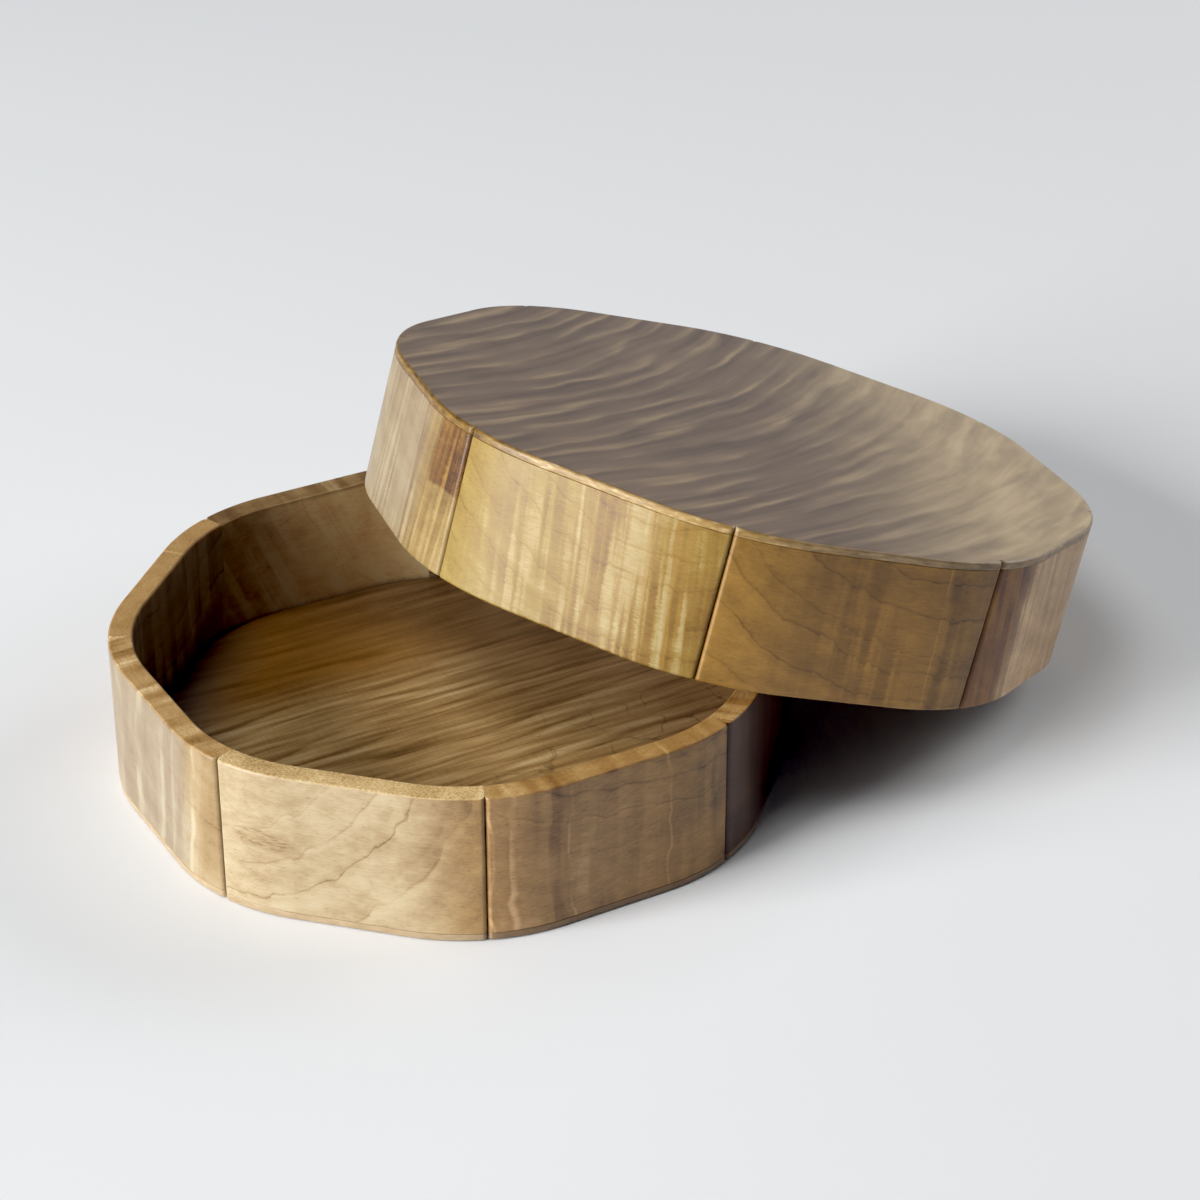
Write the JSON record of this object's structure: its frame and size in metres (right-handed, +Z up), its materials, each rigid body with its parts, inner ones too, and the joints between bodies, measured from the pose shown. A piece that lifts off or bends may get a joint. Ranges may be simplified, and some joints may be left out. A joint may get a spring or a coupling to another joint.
{
  "type": "bento box",
  "caption": "Coopered wooden bento box: an open octagonal base with bent-ended mitred staves and a glued floor, and a larger cover lid that leans on its rim.",
  "frame": {"origin": "centre of the base's underside, on the table", "axes": "+Z up; flats of the base face along X and Y; the lid lies towards +X, its downhill slope 6 degrees from +X towards +Y"},
  "size_m": [0.2569, 0.1818, 0.0892],
  "materials": {
    "base_stave_wood": "figured hardwood, planed and sanded, satin oil and wax",
    "base_floor_wood": "figured hardwood, striped, satin oil and wax",
    "lid_stave_wood": "curly hardwood, planed and sanded, satin oil and wax",
    "lid_top_wood": "curly hardwood, rippled figure, satin oil and wax"
  },
  "bodies": {
    "base": {"base_bottom_panel": "base_floor_wood", "base_stave_1": "base_stave_wood", "base_stave_2": "base_stave_wood", "base_stave_3": "base_stave_wood", "base_stave_4": "base_stave_wood", "base_stave_5": "base_stave_wood", "base_stave_6": "base_stave_wood", "base_stave_7": "base_stave_wood", "base_stave_8": "base_stave_wood"},
    "lid": {"lid_top_panel": "lid_top_wood", "lid_stave_1": "lid_stave_wood", "lid_stave_2": "lid_stave_wood", "lid_stave_3": "lid_stave_wood", "lid_stave_4": "lid_stave_wood", "lid_stave_5": "lid_stave_wood", "lid_stave_6": "lid_stave_wood", "lid_stave_7": "lid_stave_wood", "lid_stave_8": "lid_stave_wood"}
  },
  "joints": [
    {"name": "lid_lift", "type": "slide", "parent": "base", "child": "lid", "axis": [0, 0, 1], "range_m": [0, 0.12]}
  ]
}
